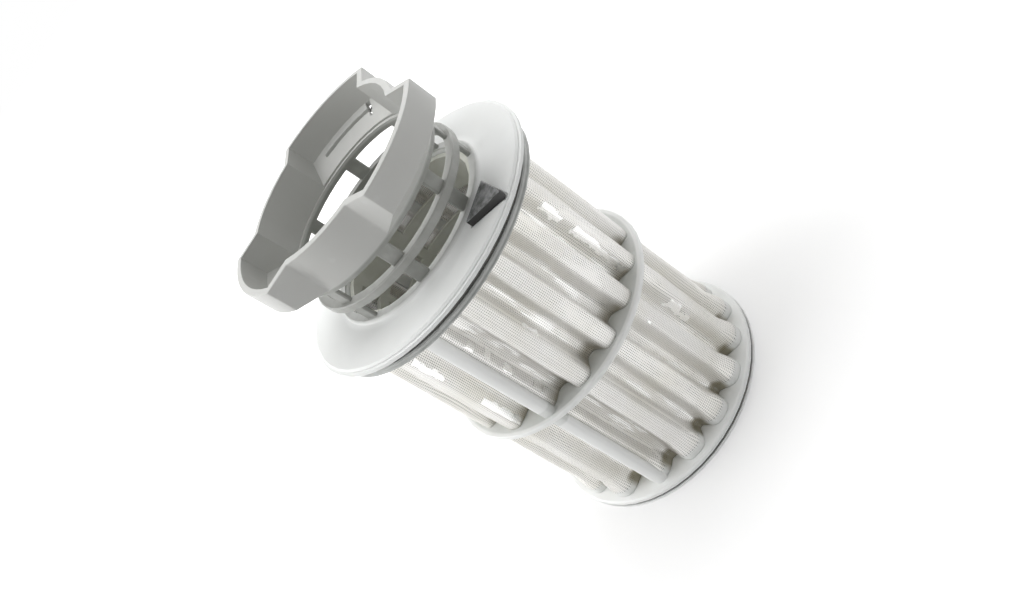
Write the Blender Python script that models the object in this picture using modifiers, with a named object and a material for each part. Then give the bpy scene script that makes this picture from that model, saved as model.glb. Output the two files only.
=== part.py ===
"""Dishwasher filter: a strainer with a three-lobed grip, set in a pleated two-tier micro filter.

The origin is at the middle of the base, +Z runs up the axis, and every length is in metres.
The strainer lifts straight up out of the micro filter.
"""

import math

import bmesh
import bpy
from mathutils import Matrix

# Round pieces
ROUND_STEPS = 48
BASKET_STEPS = 24
CLEARANCE = 0.0003
OVERLAP = 0.0006

# Grip: three lobes joined by short arcs
LOBE_COUNT = 3
LOBE_FIRST_ANGLE = 61.0
LOBE_DEPTH = 0.0065
LOBE_HALF_WIDTH = 0.0163
WEB_WALL = 0.0028
GRIP_WALL = 0.0018
GRIP_HEIGHT = 0.0122
LOBE_STEPS = 10
WEB_STEPS = 6
RIM_ROUNDING = 0.0004
LOBE_FLOOR_SLOPE = 0.631
LOBE_FLOOR_RISE = 0.0014
FLOOR_GROOVE_WIDTH = 0.0005
FLOOR_GROOVE_DEPTH = 0.0005

# Spring tongue slit in the floor of the first lobe
SLIT_INSET = 0.0037
SLIT_WIDTH = 0.0009
SLIT_START_ANGLE = 45.0
SLIT_END_ANGLE = 81.0
SLIT_STEPS = 8
SLIT_FOOT_LENGTH = 0.0023
SLIT_FOOT_WIDTH = 0.0018
SLIT_TAIL_LENGTH = 0.0012

# Cage between grip and flange
BORE_RADIUS = 0.0244
CAGE_RIB_DEPTH = 0.0013
CAGE_RING_WALL = 0.0026
CAGE_TOP_RING_WALL = 0.0022
CAGE_TOP_RING_HEIGHT = 0.0016
CAGE_RING_HEIGHT = 0.0024
LOWER_WINDOW_HEIGHT = 0.0052
UPPER_WINDOW_HEIGHT = 0.0053
RIB_COUNT = 8
RIB_FIRST_ANGLE = -15.0
RIB_WIDTH = 0.0040
RIB_CHAMFER = 0.0003

# Neck and flange
NECK_HEIGHT = 0.0013
NECK_WALL = 0.0024
NECK_FILLET_WIDTH = 0.0019
FILLET_STEPS = 3
FLANGE_THICKNESS = 0.0018
FLANGE_MARGIN = 0.0013
FLANGE_ROUNDING = 0.0005
FLANGE_LIP_DEPTH = 0.0007
FLANGE_LIP_HEIGHT = 0.0009

# Black pointer let into the flange
POINTER_ANGLE = -61.5
POINTER_TIP_MARGIN = 0.0004
POINTER_TIP_WIDTH = 0.0011
POINTER_BASE_MARGIN = 0.0007
POINTER_BASE_WIDTH = 0.0120
POINTER_HEIGHT = 0.0020
POINTER_POCKET_DEPTH = 0.0005
POINTER_CHAMFER = 0.00025

# Rubber ring under the flange
SEAL_WIDTH = 0.0040
SEAL_SHOWN_HEIGHT = 0.0021
SEAL_GROOVE_DEPTH = 0.0005
SEAL_ROUNDING = 0.0004

# Coarse basket below the neck
BASKET_WALL = 0.0014
BASKET_COLLAR_HEIGHT = 0.0020
BASKET_LIP_WIDTH = 0.0015
BASKET_LIP_THICKNESS = 0.0008
BASKET_TIER_COUNT = 5
BASKET_TIER_PITCH = 0.0090
BASKET_WINDOW_HEIGHT = 0.0060
BASKET_RIM_HEIGHT = 0.0009
BASKET_RIB_COUNT = 8
BASKET_RIB_FIRST_ANGLE = 7.5
BASKET_RIB_WIDTH = 0.0036
BASKET_TOP_WINDOW_COUNT = 4
BASKET_FLOOR_THICKNESS = 0.0016
BASKET_FLOOR_MARGIN = 0.0020
BASKET_SLOT_WIDTH = 0.0022
BASKET_SLOT_PITCH = 0.0044
BASKET_SLOT_MARGIN = 0.0032

# Pleated mesh
PLEAT_COUNT = 16
PLEAT_VALLEY_MARGIN = 0.0020
PLEAT_DEPTH = 0.0055
PLEAT_SQUARENESS = 1.8
PLEAT_STEPS = 6
MESH_THICKNESS = 0.0005

# Seam post, where the ends of the mesh meet
POST_ANGLE = -125.0
POST_TO_CREST_ANGLE = 23.0
POST_WIDTH = 0.0043
POST_MARGIN = 0.0007
POST_THICKNESS = 0.0019
POST_ROUNDING = 0.0014
POST_STEPS = 4

# Micro filter frame
FRAME_BORE_MARGIN = 0.0004
BAND_MARGIN = 0.0045
BAND_THICKNESS = 0.0015
BAND_LIP = 0.0003
UPPER_TIER_HEIGHT = 0.0426
LOWER_TIER_HEIGHT = 0.0422
MIDDLE_RING_MARGIN = 0.0021
MIDDLE_RING_THICKNESS = 0.0016
RING_ROUNDING = 0.0003
BAR_WIDTH = 0.0030
BAR_THICKNESS = 0.0010
BOTTOM_RING_MARGIN = 0.0030
BOTTOM_RING_HEIGHT = 0.0032
BOTTOM_RING_ROUNDING = 0.0005
SKIRT_HEIGHT = 0.0025
SKIRT_CREST_HEIGHT = 0.0009
SKIRT_WALL = 0.0007

# Rubber ring in the groove of the bottom ring
BASE_SEAL_INSET = 0.0003
BASE_SEAL_BOTTOM = 0.0010
BASE_SEAL_THICKNESS = 0.0005
BASE_SEAL_WIDTH = 0.0022
BASE_SEAL_CLEARANCE = 0.00015

# Heights that follow from the sizes above, from the base up
MIDDLE_RING_BASE = BOTTOM_RING_HEIGHT + LOWER_TIER_HEIGHT
MIDDLE_RING_TOP = MIDDLE_RING_BASE + MIDDLE_RING_THICKNESS
BAND_BASE = MIDDLE_RING_TOP + UPPER_TIER_HEIGHT
BAND_TOP = BAND_BASE + BAND_THICKNESS
SEAL_BASE = BAND_TOP + CLEARANCE
FLANGE_BASE = BAND_TOP + SEAL_SHOWN_HEIGHT
SEAL_TOP = FLANGE_BASE + SEAL_GROOVE_DEPTH - CLEARANCE
FLANGE_TOP = FLANGE_BASE + FLANGE_THICKNESS
NECK_TOP = FLANGE_TOP + NECK_HEIGHT
CAGE_RING_BASE = NECK_TOP + LOWER_WINDOW_HEIGHT
CAGE_TOP_RING_BASE = CAGE_RING_BASE + CAGE_RING_HEIGHT + UPPER_WINDOW_HEIGHT
GRIP_BASE = CAGE_TOP_RING_BASE + CAGE_TOP_RING_HEIGHT
GRIP_TOP = GRIP_BASE + GRIP_HEIGHT
MIDDLE_HALF = (MIDDLE_RING_THICKNESS - CLEARANCE) / 2
BASKET_LIP_TOP = FLANGE_BASE - CLEARANCE
BASKET_WINDOW_TOP = BASKET_LIP_TOP - BASKET_RIM_HEIGHT
BASKET_FLOOR_TOP = BASKET_WINDOW_TOP - BASKET_TIER_COUNT * BASKET_TIER_PITCH
PLEAT_ANGLE = (360.0 - 2 * POST_TO_CREST_ANGLE) / (PLEAT_COUNT - 1)
FIRST_CREST_ANGLE = POST_ANGLE + POST_TO_CREST_ANGLE

# Radii of the strainer that follow from its bore, and of the basket that hangs in it
WEB_RADIUS = BORE_RADIUS + WEB_WALL
LOBE_RADIUS = WEB_RADIUS + LOBE_DEPTH
SLIT_RADIUS = LOBE_RADIUS - SLIT_INSET
CAGE_RADIUS = BORE_RADIUS + CAGE_RIB_DEPTH
CAGE_RING_RADIUS = BORE_RADIUS + CAGE_RING_WALL
CAGE_TOP_RING_RADIUS = BORE_RADIUS + CAGE_TOP_RING_WALL
NECK_RADIUS = BORE_RADIUS + NECK_WALL
NECK_FILLET_RADIUS = NECK_RADIUS + NECK_FILLET_WIDTH
BASKET_RADIUS = BORE_RADIUS - CLEARANCE
BASKET_LIP_RADIUS = BASKET_RADIUS + BASKET_LIP_WIDTH
BASKET_SLOT_RADIUS = BASKET_RADIUS - BASKET_WALL - BASKET_SLOT_MARGIN

# Radii of the micro filter that follow from the basket's lip outward, and of what seats on it
FRAME_BORE_RADIUS = BASKET_LIP_RADIUS + FRAME_BORE_MARGIN
PLEAT_VALLEY_RADIUS = FRAME_BORE_RADIUS + PLEAT_VALLEY_MARGIN
PLEAT_CREST_RADIUS = PLEAT_VALLEY_RADIUS + PLEAT_DEPTH
BAR_RADIUS = PLEAT_VALLEY_RADIUS - MESH_THICKNESS - CLEARANCE
POST_RADIUS = PLEAT_CREST_RADIUS + POST_MARGIN
POST_CREST_RADIUS = POST_RADIUS - POST_THICKNESS - CLEARANCE
MIDDLE_RING_RADIUS = PLEAT_CREST_RADIUS + MIDDLE_RING_MARGIN
BOTTOM_RING_RADIUS = PLEAT_CREST_RADIUS + BOTTOM_RING_MARGIN
BASE_SEAL_RADIUS = BOTTOM_RING_RADIUS - BASE_SEAL_INSET
BAND_RADIUS = PLEAT_CREST_RADIUS + BAND_MARGIN
SEAL_RADIUS = BAND_RADIUS
FLANGE_RADIUS = SEAL_RADIUS + FLANGE_MARGIN
FLANGE_LIP_RADIUS = FLANGE_RADIUS + FLANGE_LIP_DEPTH
POINTER_TIP_RADIUS = FLANGE_RADIUS - POINTER_TIP_MARGIN
POINTER_BASE_RADIUS = NECK_FILLET_RADIUS + POINTER_BASE_MARGIN


def start_scene():
    """Empty the scene and return the collections for the parts and for the cutters."""
    for obj in list(bpy.context.scene.objects):
        bpy.data.objects.remove(obj, do_unlink=True)
    parts = bpy.data.collections.new("dishwasher_filter")
    cutters = bpy.data.collections.new("cutters")
    for collection in (parts, cutters):
        bpy.context.scene.collection.children.link(collection)
    return parts, cutters


PARTS, CUTTERS = start_scene()


def plastic(name, colour, roughness):
    """Plain Principled material."""
    material = bpy.data.materials.new(name)
    material.use_nodes = True
    shader = material.node_tree.nodes["Principled BSDF"]
    shader.inputs["Base Color"].default_value = (*colour, 1.0)
    shader.inputs["Roughness"].default_value = roughness
    return material


def metal(name, colour, roughness):
    """Principled material with a metallic surface."""
    material = plastic(name, colour, roughness)
    material.node_tree.nodes["Principled BSDF"].inputs["Metallic"].default_value = 1.0
    return material


def place(name, mesh):
    """Put a new object with this mesh among the cutters."""
    obj = bpy.data.objects.new(name, mesh)
    CUTTERS.objects.link(obj)
    obj.hide_render = True
    obj.display_type = "WIRE"
    return obj


def finish(obj, name, material):
    """Turn a shape into a visible part of the filter."""
    CUTTERS.objects.unlink(obj)
    PARTS.objects.link(obj)
    obj.name = name
    obj.hide_render = False
    obj.display_type = "TEXTURED"
    obj.data.materials.clear()
    obj.data.materials.append(material)
    return obj


def from_bmesh(name, bm):
    """Object from a bmesh, its faces pointing out."""
    bmesh.ops.recalc_face_normals(bm, faces=bm.faces)
    mesh = bpy.data.meshes.new(name)
    bm.to_mesh(mesh)
    bm.free()
    return place(name, mesh)


def combine(target, other, operation):
    """Boolean of one shape with another."""
    modifier = target.modifiers.new(operation.title() + " " + other.name, "BOOLEAN")
    modifier.operation = operation
    modifier.object = other
    modifier.solver = "EXACT"
    return target


def bevel(obj, width, segments=2):
    """Round the sharp edges of a shape."""
    modifier = obj.modifiers.new("Edge rounding", "BEVEL")
    modifier.width = width
    modifier.segments = segments
    modifier.limit_method = "ANGLE"
    modifier.angle_limit = math.radians(40)
    return obj


def turned(name, profile, steps=ROUND_STEPS):
    """Ring turned about the axis from (radius, height) points that run down the outer side."""
    count = len(profile)
    edges = [(index, (index + 1) % count) for index in range(count)]
    mesh = bpy.data.meshes.new(name)
    mesh.from_pydata([(radius, 0.0, height) for radius, height in profile], edges, [])
    obj = place(name, mesh)
    screw = obj.modifiers.new("Turn", "SCREW")
    screw.steps = steps
    screw.render_steps = steps
    screw.use_merge_vertices = True
    screw.merge_threshold = 0.00001
    return obj


def block_profile(inner, outer, base, top, rounding=0.0):
    """Closed profile of a flat ring, its outer corners cut by rounding."""
    if rounding == 0.0:
        return [(inner, top), (outer, top), (outer, base), (inner, base)]
    return [
        (inner, top),
        (outer - rounding, top),
        (outer, top - rounding),
        (outer, base + rounding),
        (outer - rounding, base),
        (inner, base),
    ]


def polar(radius, angle):
    """Point in the plane at a radius and an angle in degrees."""
    return radius * math.cos(math.radians(angle)), radius * math.sin(math.radians(angle))


def arc(radius, start, end, steps):
    """Points along an arc, both ends included."""
    return [polar(radius, start + (end - start) * step / steps) for step in range(steps + 1)]


def turned_outline(points, angle):
    """Flat outline turned about the axis by an angle in degrees."""
    cosine, sine = polar(1.0, angle)
    return [(x * cosine - y * sine, x * sine + y * cosine) for x, y in points]


def prism(name, outline, base, top):
    """Upright solid over a closed outline."""
    bm = bmesh.new()
    face = bm.faces.new([bm.verts.new((x, y, base)) for x, y in outline])
    raised = bmesh.ops.extrude_face_region(bm, geom=[face])["geom"]
    corners = [item for item in raised if isinstance(item, bmesh.types.BMVert)]
    bmesh.ops.translate(bm, verts=corners, vec=(0.0, 0.0, top - base))
    return from_bmesh(name, bm)


def radial_blocks(name, angles, inner, outer, width, base, top):
    """Upright blocks that stand around the axis, one at each angle."""
    bm = bmesh.new()
    scale = Matrix.Diagonal((outer - inner, width, top - base, 1.0))
    offset = Matrix.Translation(((inner + outer) / 2, 0.0, (base + top) / 2))
    for angle in angles:
        turn = Matrix.Rotation(math.radians(angle), 4, "Z")
        bmesh.ops.create_cube(bm, size=1.0, matrix=turn @ offset @ scale)
    return from_bmesh(name, bm)


def rib_angles():
    """Angles of the cage's ribs."""
    return [RIB_FIRST_ANGLE + index * 360.0 / RIB_COUNT for index in range(RIB_COUNT)]


def lobed_outline(inset):
    """Outline of the grip moved inward by inset: lobes with parallel sides, joined by short arcs."""
    lobe = LOBE_RADIUS - inset
    web = WEB_RADIUS - inset
    half_width = LOBE_HALF_WIDTH - inset
    lobe_half = math.degrees(math.asin(half_width / lobe))
    web_start = math.degrees(math.asin(half_width / web))
    pitch = 360.0 / LOBE_COUNT
    points = []
    for index in range(LOBE_COUNT):
        centre = LOBE_FIRST_ANGLE + index * pitch
        points += arc(lobe, centre - lobe_half, centre + lobe_half, LOBE_STEPS)
        points += arc(web, centre + web_start, centre + pitch - web_start, WEB_STEPS)
    return points


def grip():
    """Lobed collar: a wall on a floor that slopes up under each lobe, with a round bore."""
    above = GRIP_TOP + OVERLAP
    reach = LOBE_RADIUS + OVERLAP
    slope_end = GRIP_BASE + (reach - WEB_RADIUS) * LOBE_FLOOR_SLOPE
    blank = turned("grip_blank", [
        (BORE_RADIUS, above),
        (reach, above),
        (reach, slope_end),
        (WEB_RADIUS, GRIP_BASE),
        (CAGE_TOP_RING_RADIUS, GRIP_BASE),
        (CAGE_TOP_RING_RADIUS, CAGE_TOP_RING_BASE),
        (BORE_RADIUS, CAGE_TOP_RING_BASE),
    ])
    body = prism("grip", lobed_outline(0.0), CAGE_TOP_RING_BASE - OVERLAP, GRIP_TOP)
    bevel(body, RIM_ROUNDING)
    combine(body, blank, "INTERSECT")
    return combine(body, grip_hollow(), "DIFFERENCE")


def grip_hollow():
    """Space inside the grip's wall, down to the sloping floor and the groove round the bore."""
    above = GRIP_TOP + 2 * OVERLAP
    lip_radius = WEB_RADIUS - GRIP_WALL
    lip_top = GRIP_BASE + FLOOR_GROOVE_DEPTH / 2
    groove_radius = lip_radius + FLOOR_GROOVE_WIDTH
    reach = LOBE_RADIUS + OVERLAP
    floor_at_groove = GRIP_BASE + (groove_radius - WEB_RADIUS) * LOBE_FLOOR_SLOPE + LOBE_FLOOR_RISE
    floor_at_reach = GRIP_BASE + (reach - WEB_RADIUS) * LOBE_FLOOR_SLOPE + LOBE_FLOOR_RISE
    floor = turned("grip_floor_shape", [
        (BORE_RADIUS - OVERLAP, above),
        (reach, above),
        (reach, floor_at_reach),
        (groove_radius, floor_at_groove),
        (groove_radius, lip_top - FLOOR_GROOVE_DEPTH),
        (lip_radius + OVERLAP / 10, lip_top - FLOOR_GROOVE_DEPTH),
        (lip_radius - OVERLAP / 10, lip_top),
        (BORE_RADIUS - OVERLAP, lip_top),
    ])
    hollow = prism("grip_hollow", lobed_outline(GRIP_WALL), GRIP_BASE - OVERLAP, GRIP_TOP + OVERLAP)
    return combine(hollow, floor, "INTERSECT")


def tongue_slit():
    """Curved slit with a foot and a narrow tail at one end, cut through the floor of the first lobe."""
    inner = SLIT_RADIUS - SLIT_WIDTH / 2
    outer = SLIT_RADIUS + SLIT_WIDTH / 2
    outline = arc(inner, SLIT_START_ANGLE, SLIT_END_ANGLE, SLIT_STEPS)
    outline += arc(outer, SLIT_END_ANGLE, SLIT_START_ANGLE, SLIT_STEPS)
    slit = prism("tongue_slit", outline, GRIP_BASE, GRIP_TOP)
    foot = radial_blocks("tongue_slit_foot", [SLIT_START_ANGLE], inner, inner + SLIT_FOOT_LENGTH,
                         SLIT_FOOT_WIDTH, GRIP_BASE, GRIP_TOP)
    tail = radial_blocks("tongue_slit_tail", [SLIT_START_ANGLE], inner - SLIT_TAIL_LENGTH, inner + OVERLAP,
                         SLIT_WIDTH, GRIP_BASE - OVERLAP, GRIP_TOP + OVERLAP)
    return combine(combine(slit, foot, "UNION"), tail, "UNION")


def flange():
    """Neck and flange, turned in one, with a fillet between them and the seal's groove below."""
    edge = FLANGE_RADIUS - FLANGE_ROUNDING
    lip_top = FLANGE_BASE + FLANGE_LIP_HEIGHT
    chamfer = RIM_ROUNDING
    groove_top = FLANGE_BASE + SEAL_GROOVE_DEPTH
    seal_inner = SEAL_RADIUS - SEAL_WIDTH
    profile = [(BORE_RADIUS, NECK_TOP), (NECK_RADIUS - chamfer, NECK_TOP)]
    for step in range(FILLET_STEPS + 1):
        turn = math.radians(90 * step / FILLET_STEPS)
        radius = NECK_FILLET_RADIUS - (NECK_FILLET_RADIUS - NECK_RADIUS) * math.cos(turn)
        profile.append((radius, NECK_TOP - chamfer - (NECK_TOP - chamfer - FLANGE_TOP) * math.sin(turn)))
    profile += [
        (edge, FLANGE_TOP),
        (FLANGE_RADIUS, FLANGE_TOP - FLANGE_ROUNDING),
        (FLANGE_RADIUS, lip_top + OVERLAP / 6),
        (FLANGE_LIP_RADIUS, lip_top),
        (FLANGE_LIP_RADIUS, FLANGE_BASE),
        (SEAL_RADIUS + CLEARANCE, FLANGE_BASE),
        (SEAL_RADIUS + CLEARANCE, groove_top),
        (seal_inner - CLEARANCE, groove_top),
        (seal_inner - CLEARANCE, FLANGE_BASE),
        (BORE_RADIUS, FLANGE_BASE),
    ]
    return turned("flange", profile)


def cage_ribs():
    """Upright ribs that join the neck, the middle ring and the grip's floor."""
    ribs = radial_blocks("cage_ribs", rib_angles(), BORE_RADIUS + OVERLAP / 4, CAGE_RADIUS, RIB_WIDTH,
                         NECK_TOP - OVERLAP, CAGE_TOP_RING_BASE + OVERLAP)
    return bevel(ribs, RIB_CHAMFER, segments=1)


def pointer_outline(margin):
    """Triangle that points outward, its blunt tip at the flange's edge, grown by margin."""
    tip = POINTER_TIP_WIDTH / 2 + margin
    base = POINTER_BASE_WIDTH / 2 + margin
    corners = [
        (POINTER_BASE_RADIUS - margin, -base),
        (POINTER_TIP_RADIUS + margin, -tip),
        (POINTER_TIP_RADIUS + margin, tip),
        (POINTER_BASE_RADIUS - margin, base),
    ]
    return turned_outline(corners, POINTER_ANGLE)


def strainer_handle(material):
    """The strainer's moulding: grip, cage, neck and flange in one piece."""
    ring = turned("cage_ring", block_profile(BORE_RADIUS, CAGE_RING_RADIUS, CAGE_RING_BASE,
                                             CAGE_RING_BASE + CAGE_RING_HEIGHT, RING_ROUNDING))
    pocket_base = FLANGE_TOP - POINTER_POCKET_DEPTH
    pocket = prism("pointer_pocket", pointer_outline(CLEARANCE), pocket_base, FLANGE_TOP + POINTER_HEIGHT)
    body = combine(grip(), tongue_slit(), "DIFFERENCE")
    combine(body, cage_ribs(), "UNION")
    combine(body, ring, "UNION")
    combine(body, combine(flange(), pocket, "DIFFERENCE"), "UNION")
    return finish(body, "strainer_handle", material)


def pointer_arrow(material):
    """Black pointer, its foot in the flange's pocket."""
    base = FLANGE_TOP - POINTER_POCKET_DEPTH + CLEARANCE
    arrow = prism("pointer", pointer_outline(0.0), base, FLANGE_TOP + POINTER_HEIGHT)
    return finish(bevel(arrow, POINTER_CHAMFER, segments=1), "pointer_arrow", material)


def flange_seal(material):
    """Rubber ring in the groove under the flange."""
    profile = block_profile(SEAL_RADIUS - SEAL_WIDTH, SEAL_RADIUS, SEAL_BASE, SEAL_TOP, SEAL_ROUNDING)
    return finish(turned("seal", profile), "flange_seal", material)


def basket_windows():
    """Cutters for the basket's windows: one block a rib gap and tier, fewer in the top tier."""
    pitch = 360.0 / BASKET_RIB_COUNT
    skip = BASKET_RIB_COUNT // BASKET_TOP_WINDOW_COUNT
    angles = [BASKET_RIB_FIRST_ANGLE + (index + 0.5) * pitch for index in range(BASKET_RIB_COUNT)]
    chord = 2 * BASKET_RADIUS * math.sin(math.radians(pitch / 2)) - BASKET_RIB_WIDTH
    bm = bmesh.new()
    depth = 2 * BASKET_WALL + BASKET_RADIUS / 4
    for tier in range(BASKET_TIER_COUNT):
        top = BASKET_WINDOW_TOP - tier * BASKET_TIER_PITCH
        size = Matrix.Diagonal((depth, chord, BASKET_WINDOW_HEIGHT, 1.0))
        offset = Matrix.Translation((BASKET_RADIUS, 0.0, top - BASKET_WINDOW_HEIGHT / 2))
        open_angles = angles if tier > 0 else angles[1::skip]
        for angle in open_angles:
            turn = Matrix.Rotation(math.radians(angle), 4, "Z")
            bmesh.ops.create_cube(bm, size=1.0, matrix=turn @ offset @ size)
    return from_bmesh("basket_windows", bm)


def basket_slots():
    """Cutters for the straight slots in the basket's floor, shorter towards the sides."""
    bm = bmesh.new()
    middle = BASKET_FLOOR_TOP - BASKET_FLOOR_THICKNESS / 2
    count = int(BASKET_SLOT_RADIUS / BASKET_SLOT_PITCH)
    for index in range(-count, count + 1):
        offset = index * BASKET_SLOT_PITCH
        half = math.sqrt(BASKET_SLOT_RADIUS ** 2 - offset ** 2)
        size = Matrix.Diagonal((2 * half, BASKET_SLOT_WIDTH, 3 * BASKET_FLOOR_THICKNESS, 1.0))
        bmesh.ops.create_cube(bm, size=1.0, matrix=Matrix.Translation((0.0, offset, middle)) @ size)
    return from_bmesh("basket_slots", bm)


def coarse_basket(material):
    """Coarse strainer: a cup with rows of windows, hung by its lip under the flange."""
    inner = BASKET_RADIUS - BASKET_WALL
    floor_base = BASKET_FLOOR_TOP - BASKET_FLOOR_THICKNESS
    wall = turned("basket", [
        (inner, BASKET_LIP_TOP + BASKET_COLLAR_HEIGHT),
        (BASKET_RADIUS, BASKET_LIP_TOP + BASKET_COLLAR_HEIGHT),
        (BASKET_RADIUS, BASKET_LIP_TOP),
        (BASKET_LIP_RADIUS, BASKET_LIP_TOP),
        (BASKET_LIP_RADIUS, BASKET_LIP_TOP - BASKET_LIP_THICKNESS),
        (BASKET_RADIUS, BASKET_LIP_TOP - BASKET_LIP_THICKNESS),
        (BASKET_RADIUS, floor_base + RIM_ROUNDING),
        (BASKET_RADIUS - RIM_ROUNDING, floor_base),
        (BASKET_SLOT_RADIUS + BASKET_FLOOR_MARGIN, floor_base),
        (inner, floor_base + BASKET_FLOOR_THICKNESS),
    ], BASKET_STEPS)
    floor = prism("basket_floor", arc(inner + BASKET_WALL / 2, 0, 360 - 360 / BASKET_STEPS, BASKET_STEPS - 1),
                  floor_base + OVERLAP / 6, BASKET_FLOOR_TOP - OVERLAP / 6)
    combine(wall, basket_windows(), "DIFFERENCE")
    combine(wall, combine(floor, basket_slots(), "DIFFERENCE"), "UNION")
    return finish(wall, "coarse_basket", material)


def pleat_radius(angle):
    """Radius of the mesh at an angle: square-shouldered waves, lower where they run under the post."""
    turn = (angle - FIRST_CREST_ANGLE) % 360.0
    last_crest = 360.0 - 2 * POST_TO_CREST_ANGLE
    depth = PLEAT_DEPTH
    if turn <= last_crest:
        phase = 360.0 * turn / PLEAT_ANGLE
    else:
        from_crest = min(turn - last_crest, 360.0 - turn)
        phase = 360.0 * from_crest / POST_TO_CREST_ANGLE
        if phase > 180.0:
            depth = POST_CREST_RADIUS - PLEAT_VALLEY_RADIUS
    wave = math.tanh(PLEAT_SQUARENESS * math.cos(math.radians(phase))) / math.tanh(PLEAT_SQUARENESS)
    return PLEAT_VALLEY_RADIUS + depth * (0.5 + 0.5 * wave)


def pleat_outline():
    """Points once round the pleats, evenly spread over each pleat and the two at the post."""
    step = PLEAT_ANGLE / PLEAT_STEPS
    turns = [index * step for index in range((PLEAT_COUNT - 1) * PLEAT_STEPS)]
    last_crest = 360.0 - 2 * POST_TO_CREST_ANGLE
    step = POST_TO_CREST_ANGLE / PLEAT_STEPS
    turns += [last_crest + index * step for index in range(2 * PLEAT_STEPS)]
    return [polar(pleat_radius(FIRST_CREST_ANGLE + turn), FIRST_CREST_ANGLE + turn) for turn in turns]


def pleated_wall(name, base, top, gap, thickness):
    """Thin wall that follows the pleats. It starts at gap outside them, or lies inside them."""
    outline = pleat_outline()
    count = len(outline)
    bm = bmesh.new()
    lower = [bm.verts.new((x, y, base)) for x, y in outline]
    upper = [bm.verts.new((x, y, top)) for x, y in outline]
    for index in range(count):
        following = (index + 1) % count
        bm.faces.new((lower[index], lower[following], upper[following], upper[index]))
    wall = from_bmesh(name, bm)
    if gap > 0.0:
        spread = wall.modifiers.new("Outside the mesh", "DISPLACE")
        spread.strength = gap
        spread.mid_level = 0.0
    solidify = wall.modifiers.new("Wall", "SOLIDIFY")
    solidify.thickness = thickness
    solidify.offset = 1.0 if gap > 0.0 else -1.0
    solidify.use_even_offset = True
    return wall


def mesh_tier(name, base, top, material):
    """One tier of pleated mesh between two rings."""
    wall = pleated_wall(name + "_wall", base + CLEARANCE, top - CLEARANCE, 0.0, MESH_THICKNESS)
    return finish(wall, name, material)


def support_bars(name, base, top):
    """Slender bars behind every second valley of the mesh."""
    angles = [FIRST_CREST_ANGLE + (index + 0.5) * PLEAT_ANGLE for index in range(0, PLEAT_COUNT - 1, 2)]
    return radial_blocks(name, angles, BAR_RADIUS - BAR_THICKNESS, BAR_RADIUS, BAR_WIDTH, base, top)


def seam_post(name, base, top):
    """Post that covers the seam of the mesh, its outer edges well rounded."""
    inner = POST_RADIUS - POST_THICKNESS
    shoulder = POST_RADIUS - POST_ROUNDING
    half_flat = POST_WIDTH / 2 - POST_ROUNDING
    rounding = arc(POST_ROUNDING, -90, 0, POST_STEPS)
    side = [(shoulder + x, y - half_flat) for x, y in rounding]
    outline = [(inner, -POST_WIDTH / 2)] + side
    outline += [(x, -y) for x, y in reversed(outline)]
    return prism(name, turned_outline(outline, POST_ANGLE), base, top)


def upper_frame(material):
    """Collar band, bars, seam post and the upper half of the middle ring."""
    half_base = MIDDLE_RING_TOP - MIDDLE_HALF
    body = turned("upper_band", [
        (FRAME_BORE_RADIUS, BAND_TOP),
        (BAND_RADIUS - RING_ROUNDING, BAND_TOP),
        (BAND_RADIUS, BAND_TOP - RING_ROUNDING),
        (BAND_RADIUS, BAND_BASE + 2 * BAND_LIP),
        (BAND_RADIUS + BAND_LIP, BAND_BASE + BAND_LIP),
        (BAND_RADIUS + BAND_LIP, BAND_BASE),
        (FRAME_BORE_RADIUS, BAND_BASE),
    ])
    ring = turned("upper_middle_ring", [
        (FRAME_BORE_RADIUS, MIDDLE_RING_TOP),
        (MIDDLE_RING_RADIUS - RING_ROUNDING, MIDDLE_RING_TOP),
        (MIDDLE_RING_RADIUS, MIDDLE_RING_TOP - RING_ROUNDING),
        (MIDDLE_RING_RADIUS, half_base),
        (FRAME_BORE_RADIUS, half_base),
    ])
    base = MIDDLE_RING_TOP - MIDDLE_HALF / 2
    top = BAND_BASE + OVERLAP
    combine(body, support_bars("upper_bars", base, top), "UNION")
    combine(body, seam_post("upper_post", base, top), "UNION")
    combine(body, ring, "UNION")
    return finish(body, "upper_frame", material)


def valley_skirt(base):
    """Wave-shaped wall round the foot of the mesh, high in the valleys and low round the crests."""
    top = BOTTOM_RING_HEIGHT + SKIRT_HEIGHT
    crest_top = BOTTOM_RING_HEIGHT + SKIRT_CREST_HEIGHT
    reach = PLEAT_CREST_RADIUS + CLEARANCE + SKIRT_WALL
    wall = pleated_wall("skirt", base, top + OVERLAP, CLEARANCE, SKIRT_WALL)
    limit = turned("skirt_limit", [
        (PLEAT_VALLEY_RADIUS - OVERLAP, top),
        (PLEAT_VALLEY_RADIUS + CLEARANCE + SKIRT_WALL, top),
        (reach - SKIRT_WALL, crest_top),
        (reach + OVERLAP, crest_top),
        (reach + OVERLAP, base - OVERLAP),
        (PLEAT_VALLEY_RADIUS - OVERLAP, base - OVERLAP),
    ])
    return combine(wall, limit, "INTERSECT")


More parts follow.
